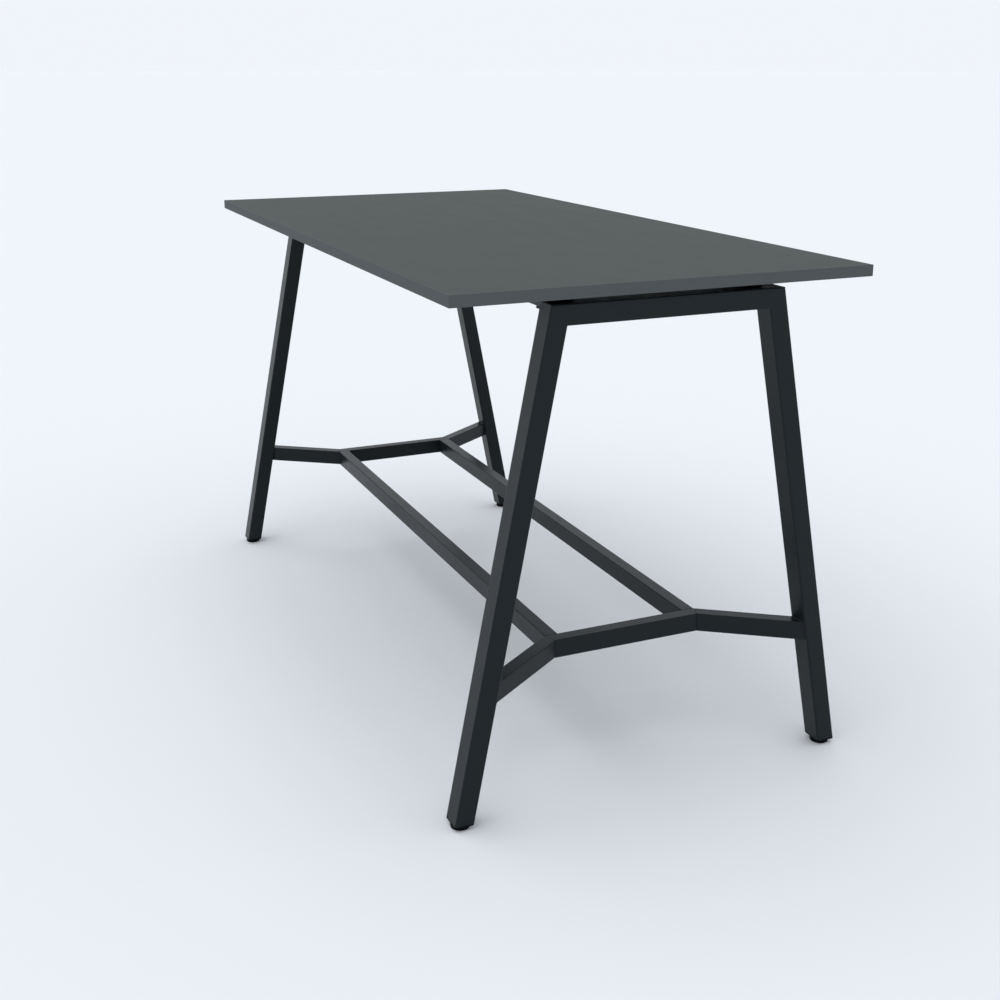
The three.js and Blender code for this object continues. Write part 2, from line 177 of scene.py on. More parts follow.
def outward_cells(patch):
    """Corners of a patch's cells, in the order that faces as its normals point, and the normals there."""
    corners = cells(patch.points)
    normals = cells(patch.normals)
    facing = np.cross(corners[:, 2] - corners[:, 0], corners[:, 3] - corners[:, 1])
    if np.sum(facing * normals.mean(axis=1)) < 0:
        corners, normals, facing = corners[:, ::-1], normals[:, ::-1], -facing
    if patch.flat:
        normals = np.repeat(facing[:, None], 4, axis=1)
    return corners, normals


def make_mesh(name, patches):
    """One mesh from patches: points that coincide become one vertex, and cells that a pole narrows become
    triangles. Every face corner keeps its own patch's normal, so flats stay flat and rounds round."""
    corners, normals = (np.concatenate(part) for part in zip(*map(outward_cells, patches)))
    points = corners.reshape(-1, 3)
    keys = np.round(points / MERGE_DISTANCE + MERGE_OFFSET).astype(np.int64)
    _, first, index = np.unique(keys, axis=0, return_index=True, return_inverse=True)
    faces = index.reshape(-1, 4)
    kept = faces != np.roll(faces, 1, axis=1)
    whole = kept.sum(axis=1) > 2
    faces, kept, normals = faces[whole], kept[whole], normals[whole]
    counts = kept.sum(axis=1)
    mesh = bpy.data.meshes.new(name)
    mesh.vertices.add(len(first))
    mesh.vertices.foreach_set("co", points[first].astype(np.float32).ravel())
    mesh.loops.add(int(counts.sum()))
    mesh.loops.foreach_set("vertex_index", faces[kept].astype(np.int32))
    mesh.polygons.add(len(faces))
    mesh.polygons.foreach_set("loop_start", (np.cumsum(counts) - counts).astype(np.int32))
    mesh.polygons.foreach_set("use_smooth", np.ones(len(faces), bool))
    mesh.update(calc_edges=True)
    mesh.normals_split_custom_set(unit(normals[kept]))
    return mesh


def make_piece(name, patches, slot, body="table", stands_for=None):
    """A piece in one of the record's finishes, which rides on a body and may stand for a node."""
    piece = bpy.data.objects.new(name, make_mesh(name, patches))
    bpy.context.scene.collection.objects.link(piece)
    piece.data.materials.append(finish(slot))
    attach(piece, body)
    if stands_for:
        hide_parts(stands_for)


def dress(node, slot):
    """Gives a node of the frame one of the finishes in place of its plain one."""
    materials = frame["nodes"][node].data.materials
    materials.clear()
    materials.append(finish(slot))


# Shapes


def grid_normals(points, outward, closed):
    """Normals of a grid: the cross product of the differences along its two parameters, turned to the side
    that outward gives. A closed grid's last column repeats its first. An open one narrows to a point at
    both ends, where the normal runs on along the grid."""
    rise = np.gradient(points, axis=0)
    if closed:
        ring = points[:, :-1]
        step = np.roll(ring, -1, axis=1) - np.roll(ring, 1, axis=1)
        step = np.concatenate([step, step[:, :1]], axis=1)
        return unit_towards(np.cross(rise, step), outward)
    step = np.gradient(points, axis=1)
    between = np.s_[:, 1:-1]
    normals = np.empty_like(points)
    normals[between] = unit_towards(np.cross(rise, step)[between], outward[between])
    normals[:, 0] = unit(points[:, 0] - points[:, 1]).mean(axis=0)
    normals[:, -1] = unit(points[:, -1] - points[:, -2]).mean(axis=0)
    return normals


def circle():
    """Directions (cos t, sin t, 0) once round, with the first repeated at the end, and the angles t."""
    turn = np.linspace(0, WHOLE_TURN, ROUND_STEPS + 1)
    return np.stack([np.cos(turn), np.sin(turn), np.zeros_like(turn)], axis=-1), turn


def rounded_rectangle(width, height, radius):
    """Closed outline of a rectangle with quarter-circle corners, and its normals: each corner is its arc's
    centre plus radius times (cos a, sin a) through a quarter turn."""
    angle = np.linspace(0, QUARTER_TURN, CORNER_STEPS + 1) + QUARTER_TURN * np.arange(4)[:, None]
    normal = np.stack([np.cos(angle), np.sin(angle)], axis=-1).reshape(-1, 2)
    quadrant = np.repeat([[1, 1], [-1, 1], [-1, -1], [1, -1]], CORNER_STEPS + 1, axis=0)
    outline = quadrant * (np.array([width, height]) / 2 - radius) + radius * normal
    return np.concatenate([outline, outline[:1]]), np.concatenate([normal, normal[:1]])


def slide_onto(points, along, cut):
    """Points moved along a direction onto a plane, each by t = (p - q).n / (along.n)."""
    reach = (cut.point - points) @ cut.normal / (along @ cut.normal)
    return points + reach[:, None] * along


def fan(row, facing):
    """Flat face inside a convex row of points, as triangles from its first point."""
    return even_patch(np.stack([row, np.broadcast_to(row[0], row.shape)]), facing)


def tube(run, size, corner, wall, start, end, seam=0):
    """Rectangular tube between two cuts: outside, bore and two rims. A section point goes from the start
    plane to the end plane along the run, in rings that share its length evenly. A seam bevels the outer
    half of each rim, back by half the seam's width, so that two tubes which meet show a fine line."""

    def section(inset, cut):
        radius = max(corner - inset, BORE_CORNER * wall)
        outline, normal = rounded_rectangle(*(np.array(size) - 2 * inset), radius)
        return slide_onto(run.middle + outline @ run.axes(), run.along, cut), normal @ run.axes()

    bevel = wall / 2 if seam else 0
    shoulders = [cut.drawn_in(seam / 2) for cut in (start, end)]
    patches = []
    for inset, cuts, side in ((0, shoulders, 1), (wall, (start, end), -1)):
        (first, normal), (last, _) = (section(inset, cut) for cut in cuts)
        rings = 2 + int(np.linalg.norm(last - first, axis=1).max() / RING_SPACING)
        share = np.linspace(0, 1, rings)[:, None, None]
        patches.append(even_patch(first + share * (last - first), side * normal))
    for cut, shoulder in zip((start, end), shoulders):
        outer, normal = section(0, shoulder)
        crest, _ = section(bevel, cut)
        inner, _ = section(wall, cut)
        patches.append(even_patch(np.stack([crest, inner]), cut.normal))
        if seam:
            patches.append(even_patch(np.stack([outer, crest]), bevel * cut.normal + seam / 2 * normal))
    return patches


def square_tube(node, corner, wall):
    """Tube along Y that fills the box of a node, with square ends."""
    low, high = span(node)
    width, _, height = high - low
    run = Run((low + high) / 2, ALONG, UP)
    return tube(run, (width, height), corner, wall, Cut(low, -ALONG), Cut(high, ALONG))


def eased_sweep(profile, normal, axes, middle, along, half, ease):
    """A profile carried along a straight line, half a length each way from its middle. Towards each end the
    profile is drawn in along its own normals by ease times (1 - cos a) while it goes on by ease times
    sin a, through a quarter turn. With no ease, the ends are square."""
    quarter = np.linspace(0, QUARTER_TURN, CORNER_STEPS + 1) if ease else np.zeros(1)
    tilt = np.concatenate([-quarter[::-1], quarter])[:, None, None]
    travel = np.repeat([ease - half, half - ease], len(quarter))[:, None, None] + ease * np.sin(tilt)
    drawn = profile - ease * (1 - np.cos(tilt)) * normal
    points = middle + drawn @ axes + travel * along
    return Patch(points, np.cos(tilt) * (normal @ axes) + np.sin(tilt) * along)


def slab(node, corner, ease):
    """Plate that fills a node's box: its outline, with rounded corners, carried up with eased edges."""
    low, high = span(node)
    width, depth, height = high - low
    outline, normal = rounded_rectangle(width, depth, corner)
    axes = np.stack([ACROSS, ALONG])
    rim = eased_sweep(outline, normal, axes, (low + high) / 2, UP, height / 2, ease)
    return [rim, fan(rim.points[0], -UP), fan(rim.points[-1], UP)]


def straight(start, end):
    """Straight stretch of a profile of [radius, height] points, with its outside to the right of travel."""
    points = np.array([start, end], float)
    tangent = unit(points[1] - points[0])
    return points, np.tile([tangent[1], -tangent[0]], (2, 1))


def bend(centre, radius, start, end):
    """Convex arc of a profile, centre plus radius times (cos a, sin a)."""
    angle = np.linspace(start, end, CORNER_STEPS + 1)
    normal = np.stack([np.cos(angle), np.sin(angle)], axis=-1)
    return np.array(centre) + radius * normal, normal


def turned(stretches, origin):
    """Stretches of a profile turned about an upright axis: (r cos t, r sin t, z) about the origin."""
    ring, _ = circle()
    return [
        Patch(
            origin + points[:, :1, None] * ring + points[:, 1:, None] * UP,
            normals[:, :1, None] * ring + normals[:, 1:, None] * UP,
        )
        for points, normals in stretches
    ]


def recess(opening, rim_radius, depth, taper, crown):
    """Tool recess in the flat crown of a head that faces down: the crown from its round rim to the opening,
    the walls, which narrow by taper over the depth, and a floor. opening gives its radius at each angle."""
    ring, turn = circle()
    mouth = crown + opening(turn)[:, None] * ring
    foot = crown + taper * opening(turn)[:, None] * ring + depth * UP
    pole = np.broadcast_to(crown + depth * UP, foot.shape)
    walls = np.stack([mouth, foot])
    return [
        even_patch(np.stack([crown + rim_radius * ring, mouth]), -UP),
        Patch(walls, np.broadcast_to(-ring, walls.shape), flat=True),
        even_patch(np.stack([foot, pole]), -UP),
    ]


def hexagon_opening(across_flats):
    """Radius of a hexagon at angle t: half its width over the cosine of the angle to the nearest flat."""
    sector = WHOLE_TURN / 6
    return lambda turn: across_flats / 2 / np.cos((turn + sector / 2) % sector - sector / 2)


def cross_opening(length, width):
    """Radius of a cross at angle t: the nearer of the arm's end and the arm's side, for the nearest arm."""

    def radius(turn):
        off = np.abs((turn + QUARTER_TURN / 2) % QUARTER_TURN - QUARTER_TURN / 2)
        side = width / 2 / np.maximum(np.sin(off), width / length / 2)
        return np.minimum(length / 2 / np.cos(off), side)

    return radius


def domed_fastener(node, seat_height, shank_radius, opening, taper):
    """Fastener whose domed head hangs below its seat: an arc of an ellipse from the flat crown to the rim,
    a recess in the crown, and a plain shank that the joint hides."""
    low, high = span(node)
    seat = np.array([*centre_of(node)[:2], seat_height])
    rim = (high[0] - low[0]) / 2
    depth = seat_height - low[2]
    shank = high[2] - seat_height
    angle = np.linspace(DOME_SWEEP, 0, CORNER_STEPS + 1)
    drop = depth / np.sin(DOME_SWEEP)
    dome = np.stack([rim * np.cos(angle), -drop * np.sin(angle)], axis=-1)
    dome_normal = unit(np.stack([np.cos(angle) / rim, -np.sin(angle) / drop], axis=-1))
    stretches = [
        (dome, dome_normal),
        straight((rim, 0), (shank_radius, 0)),
        straight((shank_radius, 0), (shank_radius, shank)),
        straight((shank_radius, shank), (0, shank)),
    ]
    hole = recess(opening, dome[0, 0], RECESS_DEPTH * depth, taper, seat - depth * UP)
    return turned(stretches, seat) + hole


def weld_bead(path, out, back, size, closed):
    """Fillet of weld along a path: at each point a curve from the toe on the wall, out times size, to the
    toe on the tube, back times size. The size swells a little at each ripple along the path, and an open
    bead tapers to nothing at its ends."""
    travel = np.linspace(0, 1, len(path))
    distance = np.linalg.norm(np.diff(path, axis=0), axis=1).sum()
    swell = 1 + WELD_RIPPLE * np.cos(WHOLE_TURN * round(distance / WELD_RIPPLE_PITCH) * travel)
    if not closed:
        swell *= (4 * travel * (1 - travel)) ** WELD_TAPER
    share = np.linspace(0, 1, WELD_ROWS)[:, None, None]
    legs = (1 - share) ** WELD_CROWN * out + share**WELD_CROWN * back
    face = path + size * swell[:, None] * legs
    outward = np.broadcast_to(out + back, face.shape)
    root = np.stack([face[-1], path, face[0]])
    return [
        Patch(face, grid_normals(face, outward, closed)),
        Patch(root, np.broadcast_to(-outward[0], root.shape), flat=True),
    ]


# The table's own lines, read from the frame


class EndFrame:
    """Where the top tube and the legs of one end run."""

    def __init__(self, end):
        low, high = span(f"top_tube_{end}")
        leg_low, leg_high = span(f"leg_{end}_right")
        self.middle_y = (low[1] + high[1]) / 2
        self.depth = high[1] - low[1]
        self.tube_bottom = low[2]
        self.tube_top = high[2]
        self.tube_reach = high[0]
        self.foot_height = leg_low[2]
        self.foot_reach = leg_high[0]
        self.lean = math.atan2(self.foot_reach - self.tube_reach, self.tube_top - self.foot_height)
        self.leg_across = 2 * (self.foot_reach - centre_of(f"foot_pad_{end}_right")[0])
        self.leg_face = self.leg_across * math.cos(self.lean)

    def point(self, reach, height):
        """A point in the middle plane of this end."""
        return np.array([reach, self.middle_y, height])

    def inner_reach(self, height):
        """Distance from the middle of the table to a leg's inner face at a height."""
        return self.foot_reach - (height - self.foot_height) * math.tan(self.lean) - self.leg_across

    def tube_run(self):
        """The top tube's run."""
        return Run(self.point(0, (self.tube_top + self.tube_bottom) / 2), ACROSS, UP)

    def leg_run(self, side):
        """A leg's run, from the middle of its foot up."""
        foot = self.point(side * (self.foot_reach - self.leg_across / 2), self.foot_height)
        return Run(foot, np.array([-side * math.sin(self.lean), 0, math.cos(self.lean)]), ALONG)

    def mitre(self, side):
        """Cut between the top tube and a leg, with its normal pointing out of the tube."""
        outer = self.point(side * self.tube_reach, self.tube_top)
        inner = self.point(side * self.inner_reach(self.tube_bottom), self.tube_bottom)
        return Cut(outer, unit_towards(np.cross(outer - inner, ALONG), side * ACROSS))

    def inner_face(self, side):
        """Inner face of a leg, as the cut that ends a tube running into it."""
        point = self.point(side * self.inner_reach(self.foot_height), self.foot_height)
        return Cut(point, np.array([side * math.cos(self.lean), 0, math.sin(self.lean)]))


class FootrestEnd:
    """Where the cross tube of the footrest and its two stubs run at one end."""

    def __init__(self, end):
        low, high = span(f"footrest_cross_{end}")
        self.frame = EndFrame(end)
        self.end = ENDS[end]
        self.section = (high[1] - low[1], high[2] - low[2])
        self.middle = (low + high) / 2
        gap = self.frame.inner_reach(self.middle[2]) - high[0]
        run_out = abs(self.frame.middle_y - self.middle[1])
        self.turn = self.stub_turn(gap, run_out, self.section[0])
        self.mitre_reach = high[0] - self.section[0] / 2 * math.tan(self.turn / 2)

    @staticmethod
    def stub_turn(gap, run_out, width):
        """Angle of a stub to its cross tube. The mitre's tip lies gap short of the leg, and the mitre's
        middle is half a width times t further in, with t the tangent of half the turn. So tan(turn) is
        run_out over gap + width t / 2, or (width + run_out) t t + 2 gap t - run_out = 0."""
        reach = width + run_out
        tangent = (math.sqrt(gap * gap + reach * run_out) - gap) / reach
        return 2 * math.atan(tangent)

    def corner(self, side):
        """Where the middle lines of the cross tube and a stub meet."""
        return self.middle + side * self.mitre_reach * ACROSS

    def mitre(self, side):
        """Cut between the cross tube and a stub, with its normal pointing out of the cross tube."""
        half = self.turn / 2
        return Cut(self.corner(side), np.array([side * math.cos(half), self.end * math.sin(half), 0]))

    def stub_run(self, side):
        """A stub's run, from its mitre out to the leg."""
        along = np.array([side * math.cos(self.turn), self.end * math.sin(self.turn), 0])
        return Run(self.corner(side), along, UP)


# Finishes


def add_node(tree, kind, inputs=(), **settings):
    """A node with its settings, and with its inputs either linked from a socket or set to a value."""
    node = tree.nodes.new(kind)
    for name, value in settings.items():
        setattr(node, name, value)
    for name, value in dict(inputs).items():
        if isinstance(value, bpy.types.NodeSocket):
            tree.links.new(value, node.inputs[name])
        else:
            node.inputs[name].default_value = value
    return node


def noise(tree, grain, detail=2.0, stretch=(1, 1, 1)):
    """Noise over the object's own coordinates, with features about grain across. stretch multiplies the
    coordinates, so a small number draws the pattern out along that axis."""
    place = add_node(tree, "ShaderNodeTexCoord").outputs["Object"]
    scaled = add_node(tree, "ShaderNodeMapping", {"Vector": place, "Scale": stretch}).outputs["Vector"]
    inputs = {"Vector": scaled, "Scale": 1 / grain, "Detail": detail}
    return add_node(tree, "ShaderNodeTexNoise", inputs).outputs["Fac"]


def spread(tree, factor, low, high):
    """A noise factor spread between two values."""
    inputs = {"Value": factor, "From Min": NOISE_LOW, "From Max": NOISE_HIGH, "To Min": low, "To Max": high}
    return add_node(tree, "ShaderNodeMapRange", inputs).outputs["Result"]


def vary(tree, colour, factor, variation):
    """A colour, or a socket that gives one, darkened and lightened by a share of itself as a noise goes."""
    level = spread(tree, factor, 1 - variation, 1 + variation)
    inputs = {0: colour, "Scale": level}
    return add_node(tree, "ShaderNodeVectorMath", inputs, operation="SCALE").outputs["Vector"]


def new_finish(name, sockets):
    """A material and its shader, with the sockets that are the same all over set on the shader itself."""
    material = bpy.data.materials.new(name)
    material.use_nodes = True
    shader = material.node_tree.nodes["Principled BSDF"]
    for socket, value in sockets.items():
        shader.inputs[socket].default_value = value
    return material, material.node_tree, shader


def link_finish(tree, shader, colour, roughness, height, relief):
    """Links a finish's varying colour and roughness, and its relief as a bump of that depth."""
    tree.links.new(colour, shader.inputs["Base Color"])
    tree.links.new(roughness, shader.inputs["Roughness"])
    bump = add_node(tree, "ShaderNodeBump", {"Height": height, "Strength": 1.0, "Distance": relief})
    tree.links.new(bump.outputs["Normal"], shader.inputs["Normal"])


def board_laminate(name, colour):
    """Matt laminate: a fine pearl grain pressed in, a faint speckle, and broad soft changes of tone."""
    material, tree, shader = new_finish(name, {"Specular IOR Level": 0.02})
    clouded = vary(tree, colour, noise(tree, grain=0.35), variation=0.006)
    speckled = vary(tree, clouded, noise(tree, grain=0.0012, detail=3.0), variation=0.06)
    wiped = spread(tree, noise(tree, grain=0.05, stretch=(1, 0.25, 1)), low=0.56, high=0.6)
    link_finish(tree, shader, speckled, wiped, noise(tree, grain=0.0009), relief=0.00004)
    return material


def edge_strip(name, colour):
    """Extruded plastic strip: fine level streaks along its length and a slight grain."""
    material, tree, shader = new_finish(name, {"Specular IOR Level": 0.02})
    streak = noise(tree, grain=0.0012, detail=1.0, stretch=(0.01, 0.01, 1))
    streaked = vary(tree, colour, streak, variation=0.03)
    gloss = spread(tree, streak, low=0.46, high=0.54)
    link_finish(tree, shader, streaked, gloss, noise(tree, grain=0.0007), relief=0.00002)
    return material


def powder_coat(name, colour):
    """Satin powder coat: the low orange peel of a baked coat, a fine fleck and slightly uneven gloss."""
    material, tree, shader = new_finish(name, {"Specular IOR Level": 0.13})
    flecked = vary(tree, colour, noise(tree, grain=0.0008, detail=3.0), variation=0.12)
    gloss = spread(tree, noise(tree, grain=0.03), low=0.28, high=0.33)
    link_finish(tree, shader, flecked, gloss, noise(tree, grain=0.0016, detail=1.5), relief=0.00004)
    return material


def zinc_plate(name, colour):
    """Bright zinc on steel: a clouded metal with a fine matt grain."""
    material, tree, shader = new_finish(name, {"Metallic": 1.0})
    cloud = noise(tree, grain=0.004, detail=3.0)
    clouded = vary(tree, colour, cloud, variation=0.12)
    gloss = spread(tree, cloud, low=0.26, high=0.4)
    link_finish(tree, shader, clouded, gloss, noise(tree, grain=0.0004), relief=0.00001)
    return material


def pad_plastic(name, colour):
    """Black moulded plastic with the fine spark grain of its mould."""
    material, tree, shader = new_finish(name, {"Specular IOR Level": 0.06})
    grain = noise(tree, grain=0.0006)
    gloss = spread(tree, grain, low=0.45, high=0.55)
    grained = vary(tree, colour, grain, variation=0.15)
    link_finish(tree, shader, grained, gloss, grain, relief=0.00003)
    return material


FINISHES = {
    "board_laminate": board_laminate,
    "edge_strip": edge_strip,
    "powder_coat": powder_coat,
    "zinc": zinc_plate,
    "pad_plastic": pad_plastic,
}


def finish(slot):
    """The material of one of the record's slots, made once in the colour that the panel gives."""
    name = f"{slot}_finish"
    made = bpy.data.materials.get(name)
    if made is None:
        made = FINISHES[slot](name, tuple(getattr(bpy.context.scene.table_colours, slot)))
    return made


# Settings


def length_prop(name, description, default):
    """A length in metres."""
    return FloatProperty(
        name=name, description=description, default=default, min=0, unit="LENGTH", precision=5
    )


def colour_prop(name, description, default):
    """A colour in linear light."""
    return FloatVectorProperty(
        name=name, description=description, default=default, subtype="COLOR", size=3, min=0, max=1
    )


def level_prop(name, description, default):
    """A strength of light."""
    return FloatProperty(name=name, description=description, default=default, min=0)


def angle_prop(name, description, default):
    """An angle in radians."""
    return FloatProperty(name=name, description=description, default=default, subtype="ANGLE")


def vector_prop(name, description, default, subtype):
    """A place or a direction."""
    return FloatVectorProperty(name=name, description=description, default=default, subtype=subtype)


class TableSizes(bpy.types.PropertyGroup):
    """Sizes of the details that the frame leaves plain."""

    strip_arris: length_prop("Strip arris", "Rounding of the edge strips' outer edges", 0.001)
    frame_corner: length_prop("Frame corner", "Corner radius of the end frames' tube", 0.004)
    frame_wall: length_prop("Frame wall", "Wall of the end frames' tube", 0.002)
    rail_corner: length_prop("Rail corner", "Corner radius of the rails under the top", 0.003)
    rail_wall: length_prop("Rail wall", "Wall of the rails under the top", 0.002)
    footrest_corner: length_prop("Footrest corner", "Corner radius of the footrest's tube", 0.002)
    footrest_wall: length_prop("Footrest wall", "Wall of the footrest's tube", 0.002)
    mitre_seam: length_prop("Mitre seam", "Width of the line that shows at the footrest's mitres", 0.001)
    weld: length_prop("Weld", "Leg length of the fillet welds", 0.0018)
    plate_corner: length_prop("Plate corner", "Upright corner radius of the rail seats", 0.002)
    plate_rounding: length_prop("Plate edge", "Rounding of the rail seats' edges", 0.0006)
    seat_bolt_shank: length_prop("Seat bolt shank", "Radius of the seat bolts' shanks", 0.004)
    seat_bolt_socket: length_prop("Seat bolt socket", "Hexagon across flats in the seat bolts", 0.005)
    footrest_bolt_shank: length_prop("Footrest bolt shank", "Radius of the footrest bolts' shanks", 0.003)
    footrest_bolt_socket: length_prop("Footrest bolt socket", "Hexagon across flats in those bolts", 0.004)
    screw_shank: length_prop("Screw shank", "Radius of the wood screws' shanks", 0.0024)
    screw_cross: length_prop("Screw cross", "Length of the cross in a wood screw's head", 0.0052)
    screw_arm: length_prop("Screw arm", "Width of an arm of that cross", 0.0012)
    cap_height: length_prop("Cap height", "Height of the rim that covers the end of a leg's tube", 0.0035)
    cap_inset: length_prop("Cap inset", "How far that rim lies inside the tube's faces", 0.0002)
    thread_pitch: length_prop("Thread pitch", "Rise of a levelling stem's thread in one turn", THREAD_PITCH)
    thread_depth: length_prop("Thread depth", "Depth of a levelling stem's thread", 0.0009)
    pad_rounding: length_prop("Pad edge", "Rounding of the levelling pads' edges", 0.0012)
    pad_recess: length_prop("Pad recess", "Depth of the moulded ring under a pad", 0.0014)


class TableColours(bpy.types.PropertyGroup):
    """Colours of the finishes, one for each of the record's material slots."""

    board_laminate: colour_prop("Laminate", "The board's two faces", (0.079, 0.09, 0.0885))
    edge_strip: colour_prop("Edge strip", "The strips round the board", (0.092, 0.101, 0.106))
    powder_coat: colour_prop("Powder coat", "All the tube and plate", (0.0104, 0.0146, 0.0172))
    zinc: colour_prop("Zinc", "Bolts, screws and levelling stems", (0.56, 0.58, 0.6))
    pad_plastic: colour_prop("Pad plastic", "The levelling pads and leg caps", (0.0026, 0.0029, 0.0033))


class TableStage(bpy.types.PropertyGroup):
    """Floor, light and camera."""

    floor: colour_prop("Floor", "The floor", (0.86, 0.892, 0.938))
    backdrop: colour_prop("Backdrop", "What shows beyond the floor", (0.871, 0.905, 0.956))
    sky: colour_prop("Sky light", "Light from all round", (0.97, 0.985, 1.0))
    sky_level: level_prop("Sky level", "Strength of the light from all round", 0.73)
    panel_level: level_prop("Panel level", "Strength of the overhead light", 1.0)
    panel_spread: angle_prop("Panel spread", "How wide the overhead light looks", 1.4)
    panel_from: vector_prop("Panel from", "Where the overhead light comes from", (-0.3, 0.05, 1.0), "XYZ")
    eye: vector_prop("Eye", "Where the camera stands", (-1.2505, -2.9562, 1.426), "TRANSLATION")
    heading: angle_prop("Heading", "Camera's turn from looking along Y", -0.41108)
    tilt: angle_prop("Tilt", "Camera's tilt from level", -0.26848)
    lens: FloatProperty(name="Lens", description="Focal length in mm", default=46.96, unit="CAMERA")
    shift: FloatProperty(name="Shift", description="Upright shift, in picture widths", default=-0.0743)


# Building


class TABLE_OT_stage(bpy.types.Operator):
    """Lays the floor, sets the light and places the camera"""

    bl_idname = "table.set_stage"
    bl_label = "Set Stage"

    FLOOR_RINGS = (0.5, 500.0)  # radii of the first and the last ring
    FLOOR_ROWS = 24

    def execute(self, context):
        stage = context.scene.table_stage
        self.lay_floor(context.scene, stage)
        self.light_world(context.scene, stage)
        self.hang_panel(context.scene, stage)
        self.place_camera(context.scene, stage)
        context.scene.view_settings.view_transform = "Standard"
        return {"FINISHED"}

    def lay_floor(self, scene, stage):
        """Flat disc in rings that widen outwards. It is clear from below, so the underside can be seen."""
        ring, _ = circle()
        radius = np.concatenate([[0], np.geomspace(*self.FLOOR_RINGS, self.FLOOR_ROWS)])
        mesh = make_mesh("floor", [even_patch(radius[:, None, None] * ring, UP)])
        floor = bpy.data.objects.new("floor", mesh)
        scene.collection.objects.link(floor)
        sockets = {"Base Color": (*stage.floor, 1), "Roughness": 0.9, "Specular IOR Level": 0.1}
        material, tree, shader = new_finish("studio_floor", sockets)
        below = add_node(tree, "ShaderNodeNewGeometry").outputs["Backfacing"]
        clear = add_node(tree, "ShaderNodeBsdfTransparent").outputs["BSDF"]
        mix = add_node(tree, "ShaderNodeMixShader", {0: below, 1: shader.outputs["BSDF"], 2: clear})
        tree.links.new(mix.outputs["Shader"], tree.nodes["Material Output"].inputs["Surface"])
        mesh.materials.append(material)

    @staticmethod
    def light_world(scene, stage):
        """Even light from all round, and a pale backdrop where the camera, a reflection or glass looks past
        the floor."""
        world = bpy.data.worlds.new("studio")
        world.use_nodes = True
        tree = world.node_tree
        lit = tree.nodes["Background"]
        lit.inputs["Color"].default_value = (*stage.sky, 1)
        lit.inputs["Strength"].default_value = stage.sky_level
        seen = add_node(tree, "ShaderNodeBackground", {"Color": (*stage.backdrop, 1), "Strength": 1.0})
        ray = add_node(tree, "ShaderNodeLightPath").outputs
        looking = ray["Is Camera Ray"]
        for other in ("Is Glossy Ray", "Is Transmission Ray"):
            inputs = {0: looking, 1: ray[other]}
            looking = add_node(tree, "ShaderNodeMath", inputs, operation="MAXIMUM").outputs["Value"]
        inputs = {0: looking, 1: lit.outputs["Background"], 2: seen.outputs["Background"]}
        mix = add_node(tree, "ShaderNodeMixShader", inputs)
        tree.links.new(mix.outputs["Shader"], tree.nodes["World Output"].inputs["Surface"])
        scene.world = world

    @staticmethod
    def hang_panel(scene, stage):
        """Wide soft light from overhead and a little to the left."""
        light = bpy.data.lights.new("overhead_panel", "SUN")
        light.energy = stage.panel_level
        light.angle = stage.panel_spread
        lamp = bpy.data.objects.new("overhead_panel", light)
        lamp.rotation_euler = Vector(stage.panel_from).to_track_quat("Z", "Y").to_euler()
        scene.collection.objects.link(lamp)

    @staticmethod
    def place_camera(scene, stage):
        """Camera that looks along Y, then tilted from level and turned about the upright."""
        camera = bpy.data.cameras.new("camera")
        camera.lens = stage.lens
        camera.shift_y = stage.shift
        viewer = bpy.data.objects.new("camera", camera)
        tilt = Matrix.Rotation(QUARTER_TURN + stage.tilt, 4, "X")
        heading = Matrix.Rotation(stage.heading, 4, "Z")
        viewer.matrix_world = Matrix.Translation(stage.eye) @ heading @ tilt
        scene.collection.objects.link(viewer)
        scene.camera = viewer


class TABLE_OT_top(bpy.types.Operator):
    """Finishes the board and makes its four edge strips"""

    bl_idname = "table.make_top"
    bl_label = "Make Top"

    OUTWARD = {"left": -ACROSS, "right": ACROSS, "near": -ALONG, "far": ALONG}
    CORNERED = ("left", "right")  # the strips that run on to the board's corners

    def execute(self, context):
        arris = context.scene.table_sizes.strip_arris
        dress("tabletop_panel", "board_laminate")
        for name, outward in self.OUTWARD.items():
            node = f"edge_band_{name}"
            patches = self.strip(node, outward, arris, arris if name in self.CORNERED else 0)
            make_piece(f"{node}_strip", patches, "edge_strip", stands_for=node)
        return {"FINISHED"}

    @staticmethod
    def strip(node, outward, arris, ease):
        """Edge strip whose profile runs round its outer face, with an arc at each arris, from one inner
        edge to the other, and is carried along the board's edge."""
        low, high = span(node)
        along = np.cross(UP, outward)
        thickness = np.abs(outward) @ (high - low)
        half_height = UP @ (high - low) / 2
        half_length = np.abs(along) @ (high - low) / 2
        lower, lower_normal = bend((-arris, arris - half_height), arris, -QUARTER_TURN, 0)
        upper, upper_normal = bend((-arris, half_height - arris), arris, 0, QUARTER_TURN)
        inner = np.array([[-thickness, -half_height]])
        profile = np.concatenate([inner, lower, upper, inner * [1, -1]])
        normal = np.concatenate([lower_normal[:1], lower_normal, upper_normal, upper_normal[-1:]])
        middle = (low + high) / 2 + outward * thickness / 2
        rim = eased_sweep(profile, normal, np.stack([outward, UP]), middle, along, half_length, ease)
        inside = even_patch(rim.points[:, [0, -1]], -outward)
        return [rim, inside, fan(rim.points[0], -along), fan(rim.points[-1], along)]


